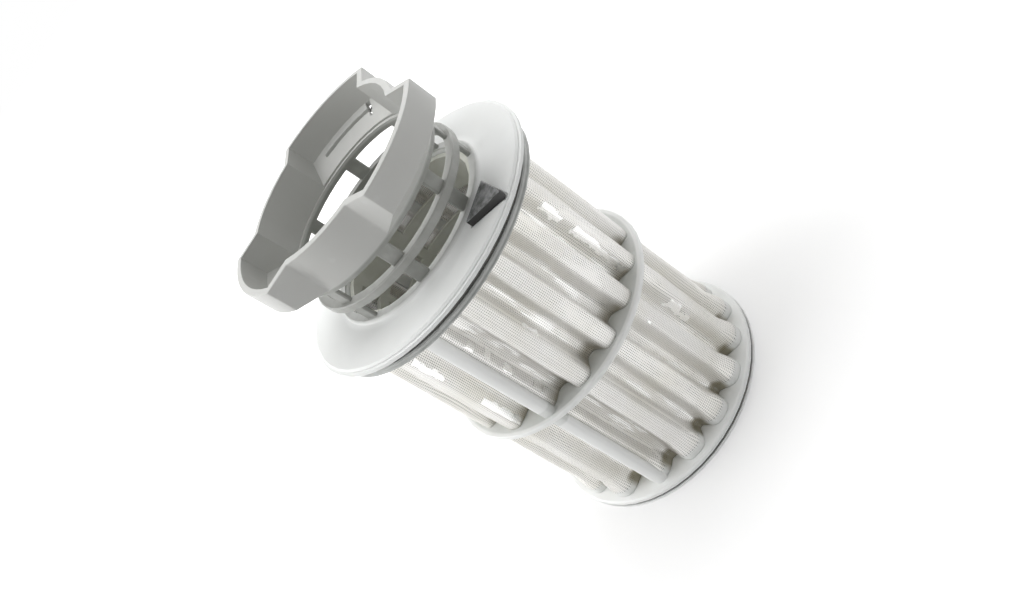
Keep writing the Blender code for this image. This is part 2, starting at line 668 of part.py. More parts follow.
def lower_frame(material):
    """Lower half of the middle ring, bars, seam post and the grooved bottom ring with its skirt."""
    half_top = MIDDLE_RING_BASE + MIDDLE_HALF
    groove_top = BASE_SEAL_BOTTOM + BASE_SEAL_THICKNESS + BASE_SEAL_CLEARANCE
    groove_base = BASE_SEAL_BOTTOM - BASE_SEAL_CLEARANCE
    groove_radius = BASE_SEAL_RADIUS - BASE_SEAL_WIDTH - CLEARANCE
    body = turned("lower_ring", [
        (FRAME_BORE_RADIUS, BOTTOM_RING_HEIGHT),
        (BOTTOM_RING_RADIUS - BOTTOM_RING_ROUNDING, BOTTOM_RING_HEIGHT),
        (BOTTOM_RING_RADIUS, BOTTOM_RING_HEIGHT - BOTTOM_RING_ROUNDING),
        (BOTTOM_RING_RADIUS, groove_top),
        (groove_radius, groove_top),
        (groove_radius, groove_base),
        (BOTTOM_RING_RADIUS, groove_base),
        (BOTTOM_RING_RADIUS, RING_ROUNDING),
        (BOTTOM_RING_RADIUS - RING_ROUNDING, 0.0),
        (FRAME_BORE_RADIUS, 0.0),
    ])
    ring = turned("lower_middle_ring", [
        (FRAME_BORE_RADIUS, half_top),
        (MIDDLE_RING_RADIUS, half_top),
        (MIDDLE_RING_RADIUS, MIDDLE_RING_BASE + RING_ROUNDING),
        (MIDDLE_RING_RADIUS - RING_ROUNDING, MIDDLE_RING_BASE),
        (FRAME_BORE_RADIUS, MIDDLE_RING_BASE),
    ])
    base = BOTTOM_RING_HEIGHT - OVERLAP
    top = MIDDLE_RING_BASE + MIDDLE_HALF / 2
    combine(body, valley_skirt(base), "UNION")
    combine(body, support_bars("lower_bars", base, top), "UNION")
    combine(body, seam_post("lower_post", base, top), "UNION")
    combine(body, ring, "UNION")
    return finish(body, "lower_frame", material)


def bottom_seal(material):
    """Thin rubber ring in the bottom ring's groove."""
    profile = block_profile(BASE_SEAL_RADIUS - BASE_SEAL_WIDTH, BASE_SEAL_RADIUS, BASE_SEAL_BOTTOM,
                            BASE_SEAL_BOTTOM + BASE_SEAL_THICKNESS)
    return finish(turned("base_seal", profile), "bottom_seal", material)


def group(name, members):
    """Parent the pieces of one body to an empty on the axis."""
    empty = bpy.data.objects.new(name, None)
    PARTS.objects.link(empty)
    for member in members:
        member.parent = empty


def shade_round():
    """Shade the curved faces smooth and keep the corners sharp."""
    for obj in PARTS.objects:
        if obj.type == "MESH":
            obj.data.shade_smooth()
            obj.data.set_sharp_from_angle(angle=math.radians(35))


def build():
    """Make every piece of the filter."""
    pale_grey = plastic("pale_grey_plastic", (0.68, 0.69, 0.68), 0.38)
    black = plastic("black_plastic", (0.03, 0.03, 0.03), 0.45)
    rubber = plastic("black_rubber", (0.05, 0.05, 0.05), 0.70)
    steel = metal("steel_mesh", (0.66, 0.63, 0.59), 0.42)
    group("strainer", [
        strainer_handle(pale_grey),
        pointer_arrow(black),
        flange_seal(rubber),
        coarse_basket(pale_grey),
    ])
    group("micro_filter", [
        upper_frame(pale_grey),
        mesh_tier("upper_mesh", MIDDLE_RING_TOP, BAND_BASE, steel),
        lower_frame(pale_grey),
        mesh_tier("lower_mesh", BOTTOM_RING_HEIGHT, MIDDLE_RING_BASE, steel),
        bottom_seal(rubber),
    ])
    shade_round()


build()
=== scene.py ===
"""Looks of the dishwasher filter: moulded pale plastic, pleated woven mesh, rubber and soft studio light.

Lengths are in metres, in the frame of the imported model: base on z = 0, +Z up the filter's axis.
"""

import math

import bmesh
import bpy
from mathutils import Matrix, Vector, noise


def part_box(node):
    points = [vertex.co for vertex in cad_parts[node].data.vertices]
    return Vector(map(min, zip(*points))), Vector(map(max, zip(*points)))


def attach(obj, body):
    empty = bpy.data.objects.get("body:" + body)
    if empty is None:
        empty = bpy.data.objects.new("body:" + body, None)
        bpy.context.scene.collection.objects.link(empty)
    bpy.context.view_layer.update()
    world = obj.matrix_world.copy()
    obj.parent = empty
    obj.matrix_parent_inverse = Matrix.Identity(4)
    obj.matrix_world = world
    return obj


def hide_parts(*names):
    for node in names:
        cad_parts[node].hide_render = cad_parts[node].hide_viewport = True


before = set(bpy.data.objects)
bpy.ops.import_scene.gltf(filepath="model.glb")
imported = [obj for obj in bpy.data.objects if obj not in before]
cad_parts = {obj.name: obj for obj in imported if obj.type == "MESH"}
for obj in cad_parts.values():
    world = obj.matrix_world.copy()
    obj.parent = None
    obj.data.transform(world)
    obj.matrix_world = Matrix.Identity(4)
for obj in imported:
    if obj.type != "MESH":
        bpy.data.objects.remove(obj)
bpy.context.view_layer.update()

MM = 0.001

# Camera, fitted to the photograph's 1031 x 597 frame. Angles are in degrees, lens and sensor in
# millimetres
CAMERA_PLACE = (0.0006, -0.2424, 0.2011)
CAMERA_ELEVATION = 30.568
CAMERA_ROLL = -56.775
CAMERA_LENS = 36.265
CAMERA_SENSOR = 36.0

# Pleats of the mesh, placed as in the construction. Squareness gives the waves their shoulders, less
# at the ends of the sheet, and the bias widens their crests
PLEAT_COUNT = 16
PLEAT_VALLEY_RADIUS = 28.0 * MM
PLEAT_DEPTH = 5.5 * MM
PLEAT_SQUARENESS = 2.4
PLEAT_END_SQUARENESS = 1.8
PLEAT_CREST_BIAS = 0.16
POST_ANGLE = -125.0
POST_TO_CREST_ANGLE = 23.0
POST_CREST_RADIUS = 32.0 * MM
PLEAT_ANGLE = (360.0 - 2 * POST_TO_CREST_ANGLE) / (PLEAT_COUNT - 1)
FIRST_CREST_ANGLE = POST_ANGLE + POST_TO_CREST_ANGLE

# Woven sheet: points a pleat, rows a tier, share of the height at each end where it settles to even
# pleats, how far its ends run into the rings, its thickness, and the pitch of its wires in millimetres
WEAVE_STEPS = 30
WEAVE_ROWS = 70
WEAVE_END_SHARE = 0.22
WEAVE_TUCK = 0.25 * MM
WEAVE_THICKNESS = 0.25 * MM
WEAVE_PITCH = 0.58

# Sway of the pleats in degrees, dents in them, and how fast both change round and along the sheet
SWAY = 0.9
SWAY_AROUND = 4.0
SWAY_ALONG = 40.0
DENT_DEPTH = 0.22 * MM
DENT_SHIFT = 0.4
DENT_AROUND = 9.0
DENT_ALONG = 55.0
UPPER_SEED = 3.0
LOWER_SEED = 11.0

# Foot of the lower tier, spread where the mesh is melted into the base ring: fully up to the first
# height above the tier's low end, and not at all from the second
FOOT_FLARE = 1.15 * MM
FOOT_FULL = 1.6 * MM
FOOT_HEIGHT = 9.0 * MM

# Band over the joint between the two halves of the middle ring
JOINT_RADIUS = 35.52 * MM
JOINT_WALL = 0.3 * MM
JOINT_MARGIN = 0.4 * MM
JOINT_STEPS = 96

# Lump of dirt in the foot of the spring tongue's slit
SLIT_DIRT_ANGLE = 45.0
SLIT_DIRT_RADIUS = 31.0 * MM
SLIT_DIRT_SIZE = (2.7 * MM, 1.8 * MM, 0.6 * MM)
SLIT_DIRT_HEIGHT = 113.2 * MM
SLIT_DIRT_DETAIL = 3
SLIT_DIRT_LUMPS = 5.0
SLIT_DIRT_ROUGHNESS = 0.35

# Smooth faces meet in a crisp corner above this angle in degrees
CORNER_ANGLE = 32.0
WELD_DISTANCE = 0.01 * MM

# Painted highlights on the weave, bright glossy patches and glints, as (angle, half width in degrees,
# lowest, highest in millimetres), and the soft edges of its patches round and along the sheet
HIGHLIGHT_PATCHES = (
    (-44.2, 0.9, 75.0, 79.5),
    (-44.6, 0.7, 72.5, 75.6),
    (-44.4, 0.9, 59.5, 68.5),
    (-44.8, 0.6, 48.5, 60.0),
    (-44.6, 0.8, 26.0, 31.0),
    (-45.2, 0.5, 21.5, 26.5),
    (-142.7, 0.9, 47.5, 61.5),
    (-143.0, 0.8, 74.0, 84.0),
    (-119.4, 1.0, 75.5, 78.5),
    (-118.6, 1.1, 70.0, 73.0),
    (-119.2, 0.9, 63.0, 66.0),
    (-118.8, 1.1, 52.0, 56.0),
    (-96.5, 0.7, 66.0, 71.0),
    (-64.2, 0.4, 37.6, 38.8),
    (-100.5, 0.4, 46.9, 48.0),
)
HIGHLIGHT_AROUND_EDGE = 0.12
HIGHLIGHT_ALONG_EDGE = 0.15

# Zones as (lowest, highest, soft edge). Ridge and flank are shares of a pleat: a painted highlight along
# the edge of its crest, and painted shade on the flank before the crest. The seam, painted shade in the
# valley beside the post, is in degrees; the others are in millimetres. The streaks are painted
# highlights, and the lower dirt zone holds painted shade as well as dirt
RIDGE_HIGHLIGHT_ZONE = (0.22, 0.30, 0.03)
FLANK_SHADE_ZONE = (0.64, 0.80, 0.06)
SEAM_SHADE_ZONE = (-118.0, -107.0, 1.5)
STREAK_RADII = (0.0, 30.2, 1.2)
UPPER_DIRT_HEIGHTS = (44.0, 51.5, 3.5)
LOWER_DIRT_AND_SHADE_HEIGHTS = (2.0, 7.8, 1.2)
DIRT_AND_SHADE_RADII = (0.0, 32.6, 1.6)
MELTED_HEIGHTS = (0.0, 6.6, 1.6)

# Wobbles of a zone's edge as (scale of the noise, amount, detail)
HIGHLIGHT_AROUND_WOBBLE = (700.0, 0.7, 2.0)
HIGHLIGHT_ALONG_WOBBLE = (420.0, 1.6, 2.0)
UPPER_DIRT_WOBBLE = (150.0, 2.0, 3.0)
LOWER_DIRT_AND_SHADE_WOBBLE = (260.0, 0.8, 3.0)
DIRT_AND_SHADE_RADIUS_WOBBLE = (300.0, 0.5, 3.0)
SEAM_SHADE_WOBBLE = (120.0, 1.0, 3.0)

# Noises as (scale, detail, roughness, stretch along the axis)
TONE_NOISE = (38.0, 3.0, 0.5, 1.0)
GLOSS_NOISE = (160.0, 4.0, 0.5, 1.0)
GRAIN_NOISE = (900.0, 5.0, 0.6, 1.0)
DARKENING_NOISE = (210.0, 4.0, 0.5, 1.0)
STREAK_NOISE = (520.0, 3.0, 0.5, 5.0)
LIME_NOISE = (75.0, 4.0, 0.55, 2.6)
STEEL_NOISE = (60.0, 4.0, 0.5, 1.0)
SCUFF_NOISE = (330.0, 6.0, 0.65, 1.0)
DUST_NOISE = (260.0, 5.0, 0.5, 1.0)
RUBBER_NOISE = (1400.0, 4.0, 0.5, 1.0)

# Stops of the ramps as (place, colour)
BLACK = (0.0, 0.0, 0.0)
WHITE = (1.0, 1.0, 1.0)
STREAK_STOPS = ((0.52, BLACK), (0.58, (0.6, 0.6, 0.6)))
LIME_STOPS = ((0.50, BLACK), (0.64, (0.80, 0.80, 0.80)))
STEEL_STOPS = ((0.40, (0.995, 0.985, 0.96)), (0.68, (0.935, 0.92, 0.865)))
WIRE_STOPS = ((0.55, (0.18, 0.175, 0.16)), (0.86, WHITE))
SCUFF_STOPS = ((0.36, (0.1, 0.1, 0.1)), (0.60, WHITE))
PLASTIC_PLACES = (0.35, 0.70)
RUBBER_PLACES = (0.40, 0.72)

# Bumps as (strength, height)
PLASTIC_BUMP = (0.12, 0.05 * MM)
WIRE_BUMP = (0.5, 0.1 * MM)
SCUFF_BUMP = (0.25, 0.06 * MM)
RUBBER_BUMP = (0.25, 0.08 * MM)

# Woven steel: colours laid over it, painted shade among them, how strongly, its gaps, and its shine bare
# and under the painted highlights
FLANK_SHADE_COLOUR = (0.80, 0.79, 0.75)
FLANK_SHADE_STRENGTH = 0.2
SEAM_SHADE_COLOUR = (0.60, 0.59, 0.56)
SEAM_SHADE_STRENGTH = 0.60
HIGHLIGHT_COLOUR = (0.97, 0.97, 0.96)
MELTED_COLOUR = (0.84, 0.85, 0.83)
DIRT_AND_SHADE_COLOUR = (0.40, 0.37, 0.29)
UPPER_DIRT_STRENGTH = 0.85
GAP_LEVEL = 0.50
GAP_SHARPNESS = 6.0
WIRE_METAL = 0.45
HIGHLIGHT_METAL = 0.45
WIRE_ROUGHNESS = 0.42
HIGHLIGHT_SMOOTHING = 0.22

# Plastics and rubber as (colour, shade, roughness). The plastics' roughness varies a little, from below
# the one named to above it
STRAINER_PLASTIC = ((0.84, 0.853, 0.842), (0.79, 0.80, 0.785), 0.42)
BASKET_PLASTIC = ((0.78, 0.79, 0.765), (0.70, 0.705, 0.67), 0.45)
FRAME_PLASTIC = ((0.92, 0.93, 0.918), (0.87, 0.88, 0.865), 0.36)
SEAL_RUBBER = ((0.03, 0.03, 0.028), (0.09, 0.085, 0.075), 0.62)
GLOSS_BELOW = 0.06
GLOSS_ABOVE = 0.08

# Pointer: black, scuffed where the surface looks up more than the limit
POINTER_BLACK = (0.022, 0.022, 0.021)
POINTER_SCUFFS = (0.26, 0.265, 0.268)
POINTER_ROUGHNESS = 0.45
POINTER_UP_LIMIT = 0.7

# Darkened zones, of dirt and of painted shade, as (colour, lowest, highest, innermost, outermost,
# strength, share left on faces that look up, the rest spared as painted light from above), places in
# millimetres
# Painted shade over the whole grip, cloudy, so it sits darker than the flange of the same plastic
GRIP_SHADE = ((0.645, 0.64, 0.625), 96.0, 125.0, 20.0, 36.0, 1.35, 1.0)
# Dirt with painted shade under the grip on the cage; faces that look up keep more tone, painted light
# from above
CAGE_GRIME_AND_SHADE = ((0.455, 0.465, 0.44), 95.6, 110.6, 20.0, 27.4, 0.95, 0.45)
FLANGE_HAZE = ((0.88, 0.895, 0.91), 93.6, 96.2, 27.0, 41.0, 0.1, 1.0)
# Darker round the ends of the pleats on the middle ring
RING_FOOT_DARKENING = ((0.70, 0.71, 0.695), 42.0, 50.0, 28.0, 34.6, 1.0, 1.0)
# Painted shade on the band under the flange's rim
BAND_SHADE = ((0.44, 0.45, 0.44), 88.6, 91.5, 36.5, 39.5, 1.0, 1.0)
# Dirt with painted shade in the valleys round the foot of the lower tier
BASE_DIRT_AND_SHADE = ((0.34, 0.33, 0.28), 3.3, 6.2, 26.0, 32.6, 0.95, 1.0)
BASKET_GRIME = ((0.71, 0.71, 0.65), 60.0, 98.0, 15.0, 27.0, 1.0, 1.0)

# Soft edge of a darkened zone in millimetres, and how dark it is: what its cloud adds, and the least
# anywhere
DARKENING_EDGE = 0.6
DARKENING_CLOUD = 0.8
DARKENING_FLOOR = 0.45

# Background: the world's fill as light, the floor's size and drop below the base, its colour as seen
# and as light, and its glow, which rises to white between two distances
WORLD_FILL = 0.16
FLOOR_SIZE = 6.0
FLOOR_DROP = 0.05 * MM
FLOOR_COLOUR = 0.75
FLOOR_BOUNCE = 0.88
FLOOR_GLOW = 0.27
FLOOR_NEAR = 0.04
FLOOR_FAR = 0.45

# Lamps as (name, azimuth, elevation, width, power), all at one distance from the object's middle
OBJECT_MIDDLE = (0.0, 0.0, 0.06)
LAMP_DISTANCE = 0.9
LAMPS = (
    ("left", 157.0, 25.0, 0.90, 6.3),
    ("right", 50.0, 25.0, 0.80, 2.7),
    ("top", 90.0, 80.0, 0.80, 6.1),
    ("low right", -20.0, 12.0, 0.60, 0.8),
    ("front", -95.0, 10.0, 0.80, 1.0),
)


def add_node(tree, kind, **inputs):
    """Node with its named inputs set or linked."""
    node = tree.nodes.new(kind)
    for name, value in inputs.items():
        socket = node.inputs[name.replace("_", " ")]
        if isinstance(value, bpy.types.NodeSocket):
            tree.links.new(value, socket)
        else:
            socket.default_value = value
    return node


def math_node(tree, operation, first, second=0.0, clamp=False):
    """Result socket of a Math node."""
    node = tree.nodes.new("ShaderNodeMath")
    node.operation = operation
    node.use_clamp = clamp
    for index, value in enumerate((first, second)):
        if isinstance(value, bpy.types.NodeSocket):
            tree.links.new(value, node.inputs[index])
        else:
            node.inputs[index].default_value = value
    return node.outputs[0]


def ramp(tree, factor, stops):
    """Colour output of a ramp; stops are (place, colour)."""
    node = tree.nodes.new("ShaderNodeValToRGB")
    tree.links.new(factor, node.inputs[0])
    for element, (position, colour) in zip(node.color_ramp.elements, stops):
        element.position = position
        element.color = (*colour, 1.0)
    return node.outputs[0]


def mix_colour(tree, factor, first, second, blend="MIX"):
    """Mixed colour socket of two colours or sockets."""
    node = tree.nodes.new("ShaderNodeMix")
    node.data_type = "RGBA"
    node.blend_type = blend
    for name, value in (("Factor_Float", factor), ("A_Color", first), ("B_Color", second)):
        socket = next(s for s in node.inputs if s.identifier == name)
        if isinstance(value, bpy.types.NodeSocket):
            tree.links.new(value, socket)
        elif name == "Factor_Float":
            socket.default_value = value
        else:
            socket.default_value = (*value, 1.0)
    return next(s for s in node.outputs if s.identifier == "Result_Color")


def place_noise(tree, scale, detail, roughness=0.5, stretch=1.0):
    """Noise over the object's own coordinates, drawn out along the axis by stretch."""
    coordinates = tree.nodes.new("ShaderNodeTexCoord").outputs["Object"]
    if stretch != 1.0:
        mapping = add_node(tree, "ShaderNodeMapping", Vector=coordinates, Scale=(1.0, 1.0, 1.0 / stretch))
        coordinates = mapping.outputs[0]
    node = add_node(tree, "ShaderNodeTexNoise", Vector=coordinates, Scale=scale, Detail=detail,
                    Roughness=roughness)
    return node.outputs[0]


def length_socket(tree, vector):
    """Length of a vector."""
    node = add_node(tree, "ShaderNodeVectorMath", Vector=vector)
    node.operation = "LENGTH"
    return node.outputs["Value"]


def place_sockets(tree):
    """Angle in degrees, height and radius in millimetres, of the point on the model."""
    coordinates = tree.nodes.new("ShaderNodeTexCoord").outputs["Object"]
    x, y, z = add_node(tree, "ShaderNodeSeparateXYZ", Vector=coordinates).outputs
    angle = math_node(tree, "DEGREES", math_node(tree, "ARCTAN2", y, x))
    flat = add_node(tree, "ShaderNodeCombineXYZ", X=x, Y=y).outputs[0]
    radius = math_node(tree, "DIVIDE", length_socket(tree, flat), MM)
    return angle, math_node(tree, "DIVIDE", z, MM), radius


def up_socket(tree):
    """How far the surface looks up, from -1 to 1."""
    normal = tree.nodes.new("ShaderNodeNewGeometry").outputs["Normal"]
    return add_node(tree, "ShaderNodeSeparateXYZ", Vector=normal).outputs[2]


def inside_band(tree, value, low, high, edge):
    """One where a value lies between two limits, with soft edges."""
    rise = math_node(tree, "DIVIDE", math_node(tree, "SUBTRACT", value, low), edge)
    fall = math_node(tree, "DIVIDE", math_node(tree, "SUBTRACT", high, value), edge)
    return math_node(tree, "MINIMUM", rise, fall, clamp=True)


def shifted(tree, value, scale, amount, detail):
    """Value moved up and down by noise, by up to amount."""
    wobble = math_node(tree, "SUBTRACT", place_noise(tree, scale, detail), 0.5)
    return math_node(tree, "ADD", value, math_node(tree, "MULTIPLY", wobble, 2.0 * amount))


def without(tree, value):
    """One less a value."""
    return math_node(tree, "SUBTRACT", 1.0, value)


def new_material(name, roughness):
    """Material, its tree and its Principled shader."""
    material = bpy.data.materials.new(name)
    material.use_nodes = True
    tree = material.node_tree
    shader = tree.nodes["Principled BSDF"]
    shader.inputs["Roughness"].default_value = roughness
    return material, tree, shader


def set_bump(tree, shader, height, strength, distance):
    """Bump on the shader's normal."""
    bump = add_node(tree, "ShaderNodeBump", Strength=strength, Distance=distance, Height=height)
    tree.links.new(bump.outputs[0], shader.inputs["Normal"])


def stained_and_shaded(tree, tone, darkening):
    """Tone darkened in a ring-shaped zone, cloudy: dirt in some zones, painted shade in others. Less
    where the face looks up: painted light from above.
    """
    colour, low, high, inner, outer, strength, share_up = darkening
    height, radius = place_sockets(tree)[1:]
    # Faces that look up are darkened less: painted light from above
    lit_from_above = math_node(tree, "MULTIPLY", up_socket(tree), 1.0 - share_up, clamp=True)
    zone = math_node(tree, "MULTIPLY", inside_band(tree, height, low, high, DARKENING_EDGE),
                     inside_band(tree, radius, inner, outer, DARKENING_EDGE))
    cloud = math_node(tree, "MULTIPLY", place_noise(tree, *DARKENING_NOISE), DARKENING_CLOUD)
    cloud = math_node(tree, "ADD", cloud, DARKENING_FLOOR)
    amount = math_node(tree, "MULTIPLY", math_node(tree, "MULTIPLY", zone, cloud), strength, clamp=True)
    amount = math_node(tree, "MULTIPLY", amount, without(tree, lit_from_above))
    return mix_colour(tree, amount, tone, colour, "MULTIPLY")


def moulded_plastic(name, colour, shade, roughness, darkenings):
    """Smooth moulded plastic, a little uneven in tone and gloss, darkened by dirt and by painted shade in
    its zones.
    """
    material, tree, shader = new_material(name, roughness)
    tone = ramp(tree, place_noise(tree, *TONE_NOISE), zip(PLASTIC_PLACES, (colour, shade)))
    for darkening in darkenings:
        tone = stained_and_shaded(tree, tone, darkening)
    tree.links.new(tone, shader.inputs["Base Color"])
    low, high = roughness - GLOSS_BELOW, roughness + GLOSS_ABOVE
    spread = math_node(tree, "MULTIPLY", place_noise(tree, *GLOSS_NOISE), high - low)
    tree.links.new(math_node(tree, "ADD", spread, low), shader.inputs["Roughness"])
    set_bump(tree, shader, place_noise(tree, *GRAIN_NOISE), *PLASTIC_BUMP)
    return material


def highlight_mask(tree, angle, height, radius):
    """One where painted highlights, bright glossy patches that close the weave, lie: in the named
    patches, and in streaks along the valleys.
    """
    around = shifted(tree, angle, *HIGHLIGHT_AROUND_WOBBLE)
    along = shifted(tree, height, *HIGHLIGHT_ALONG_WOBBLE)
    valley = inside_band(tree, radius, *STREAK_RADII)
    streaks = ramp(tree, place_noise(tree, *STREAK_NOISE), STREAK_STOPS)
    mask = math_node(tree, "MULTIPLY", valley, streaks)
    for centre, half_width, low, high in HIGHLIGHT_PATCHES:
        across = inside_band(tree, around, centre - half_width, centre + half_width, HIGHLIGHT_AROUND_EDGE)
        patch = math_node(tree, "MULTIPLY", across, inside_band(tree, along, low, high, HIGHLIGHT_ALONG_EDGE))
        mask = math_node(tree, "MAXIMUM", mask, patch)
    return mask


def pleat_phase(tree, angle):
    """Share of a pleat passed since its crest, from 0 to 1."""
    turns = math_node(tree, "DIVIDE", math_node(tree, "SUBTRACT", angle, FIRST_CREST_ANGLE), PLEAT_ANGLE)
    return math_node(tree, "FRACT", turns)


def lime_and_ridge_highlight(tree, phase):
    """How far the weave is closed: fine lime in drawn-out clouds, and a painted highlight along one edge
    of each crest.
    """
    cloud = ramp(tree, place_noise(tree, *LIME_NOISE), LIME_STOPS)
    return math_node(tree, "MAXIMUM", cloud, inside_band(tree, phase, *RIDGE_HIGHLIGHT_ZONE))


def valley_dirt_and_shade(tree, height, radius):
    """One where dirt is packed in the valleys just above the middle ring, and dirt with painted shade
    just above the base ring.
    """
    upper_foot = inside_band(tree, shifted(tree, height, *UPPER_DIRT_WOBBLE), *UPPER_DIRT_HEIGHTS)
    # Dirt with painted shade in the valleys just above the base ring
    lower_foot = inside_band(tree, shifted(tree, height, *LOWER_DIRT_AND_SHADE_WOBBLE), *LOWER_DIRT_AND_SHADE_HEIGHTS)
    deep = inside_band(tree, shifted(tree, radius, *DIRT_AND_SHADE_RADIUS_WOBBLE), *DIRT_AND_SHADE_RADII)
    upper_foot = math_node(tree, "MULTIPLY", upper_foot, UPPER_DIRT_STRENGTH)
    return math_node(tree, "MULTIPLY", math_node(tree, "MAXIMUM", upper_foot, lower_foot), deep)


def wire_height(tree):
    """Height of the crossed wires over the sheet's own coordinates, 0 in a gap and 1 on a wire."""
    coordinates = tree.nodes.new("ShaderNodeUVMap").outputs[0]
    split = add_node(tree, "ShaderNodeSeparateXYZ", Vector=coordinates)
    waves = []
    for axis in (0, 1):
        turned = math_node(tree, "MULTIPLY", split.outputs[axis], math.pi / WEAVE_PITCH)
        waves.append(math_node(tree, "ABSOLUTE", math_node(tree, "SINE", turned)))
    return math_node(tree, "MAXIMUM", *waves)


def woven_steel():
    """Fine woven wire with open gaps, lime, painted highlights, painted shade and dirt, melted shut at
    the base ring.
    """
    material, tree, shader = new_material("woven_steel", WIRE_ROUGHNESS)
    wire = wire_height(tree)
    angle, height, radius = place_sockets(tree)
    phase = pleat_phase(tree, angle)
    # Painted highlights: bright glossy patches and streaks that close the weave
    highlight = highlight_mask(tree, angle, height, radius)
    # Painted shade on the flank before each crest
    flank_shade = inside_band(tree, phase, *FLANK_SHADE_ZONE)
    # Lime closes the weave, and a painted highlight runs along one edge of each crest
    lime_and_highlight = math_node(tree, "MULTIPLY", lime_and_ridge_highlight(tree, phase), without(tree, flank_shade))
    # Painted shade in the valley beside the post
    seam_shade = inside_band(tree, shifted(tree, angle, *SEAM_SHADE_WOBBLE), *SEAM_SHADE_ZONE)
    # Dirt in the valleys, with painted shade at the foot of the lower tier
    dirt_and_shade = valley_dirt_and_shade(tree, height, radius)
    foot = inside_band(tree, height, *MELTED_HEIGHTS)

    steel = ramp(tree, place_noise(tree, *STEEL_NOISE), STEEL_STOPS)
    tone = mix_colour(tree, without(tree, lime_and_highlight), steel, ramp(tree, wire, WIRE_STOPS), "MULTIPLY")
    # Painted shade on the flanks and in the valley beside the post
    painted_shades = ((flank_shade, FLANK_SHADE_STRENGTH, FLANK_SHADE_COLOUR), (seam_shade, SEAM_SHADE_STRENGTH, SEAM_SHADE_COLOUR))
    for zone, strength, colour in painted_shades:
        tone = mix_colour(tree, math_node(tree, "MULTIPLY", zone, strength), tone, colour, "MULTIPLY")
    tone = mix_colour(tree, highlight, tone, HIGHLIGHT_COLOUR)
    tone = mix_colour(tree, foot, tone, MELTED_COLOUR)
    tone = mix_colour(tree, dirt_and_shade, tone, DIRT_AND_SHADE_COLOUR, "MULTIPLY")
    tree.links.new(tone, shader.inputs["Base Color"])

    above = math_node(tree, "SUBTRACT", wire, GAP_LEVEL)
    closed = math_node(tree, "MULTIPLY", above, GAP_SHARPNESS, clamp=True)
    for cover in (lime_and_highlight, highlight, foot):
        closed = math_node(tree, "MAXIMUM", closed, cover)
    tree.links.new(closed, shader.inputs["Alpha"])

    shine = math_node(tree, "ADD", WIRE_METAL, math_node(tree, "MULTIPLY", highlight, HIGHLIGHT_METAL))
    bare = without(tree, math_node(tree, "MAXIMUM", foot, dirt_and_shade))
    tree.links.new(math_node(tree, "MULTIPLY", shine, bare), shader.inputs["Metallic"])
    smoothing = math_node(tree, "MULTIPLY", highlight, HIGHLIGHT_SMOOTHING)
    tree.links.new(math_node(tree, "SUBTRACT", WIRE_ROUGHNESS, smoothing), shader.inputs["Roughness"])
    set_bump(tree, shader, wire, *WIRE_BUMP)
    return material


def worn_black():
    """Black moulded plastic, scuffed grey where it faces up."""
    material, tree, shader = new_material("worn_black_plastic", POINTER_ROUGHNESS)
    raised = math_node(tree, "GREATER_THAN", up_socket(tree), POINTER_UP_LIMIT)
    scuffs = ramp(tree, place_noise(tree, *SCUFF_NOISE), SCUFF_STOPS)
    worn = math_node(tree, "MULTIPLY", raised, scuffs)
    tree.links.new(mix_colour(tree, worn, POINTER_BLACK, POINTER_SCUFFS), shader.inputs["Base Color"])
    set_bump(tree, shader, place_noise(tree, *GRAIN_NOISE), *SCUFF_BUMP)
    return material


def rubber(name, colour, shade, roughness):
    """Matt rubber with a fine dusty grain."""
    material, tree, shader = new_material(name, roughness)
    tone = ramp(tree, place_noise(tree, *DUST_NOISE), zip(RUBBER_PLACES, (colour, shade)))
    tree.links.new(tone, shader.inputs["Base Color"])
    set_bump(tree, shader, place_noise(tree, *RUBBER_NOISE), *RUBBER_BUMP)
    return material


def pleat_radius(angle, squareness):
    """Outer radius of the mesh at an angle in degrees."""
    turn = (angle - FIRST_CREST_ANGLE) % 360.0
    last_crest = 360.0 - 2 * POST_TO_CREST_ANGLE
    depth = PLEAT_DEPTH
    if turn <= last_crest:
        phase = 360.0 * turn / PLEAT_ANGLE
    else:
        from_crest = min(turn - last_crest, 360.0 - turn)
        phase = 360.0 * from_crest / POST_TO_CREST_ANGLE
        if phase > 180.0:
            depth = POST_CREST_RADIUS - PLEAT_VALLEY_RADIUS
    low, high = (math.tanh(squareness * (end + PLEAT_CREST_BIAS)) for end in (-1.0, 1.0))
    wave = math.tanh(squareness * (math.cos(math.radians(phase)) + PLEAT_CREST_BIAS))
    return PLEAT_VALLEY_RADIUS + depth * (wave - low) / (high - low)


def direction(angle):
    """Unit vector in the plane at an angle in degrees."""
    turn = math.radians(angle)
    return Vector((math.cos(turn), math.sin(turn)))


def outline_point(angle, squareness=PLEAT_SQUARENESS):
    """Point of the pleats' section at an angle in degrees."""
    return direction(angle) * pleat_radius(angle, squareness)


def outward(angle, squareness):
    """Unit vector that points straight out of the pleats at an angle in degrees."""
    along = outline_point(angle + 0.5, squareness) - outline_point(angle - 0.5, squareness)
    return Vector((along.y, -along.x)).normalized()


def smooth_step(value):
    """Zero to one with soft ends."""
    held = max(0.0, min(1.0, value))
    return held * held * (3.0 - 2.0 * held)


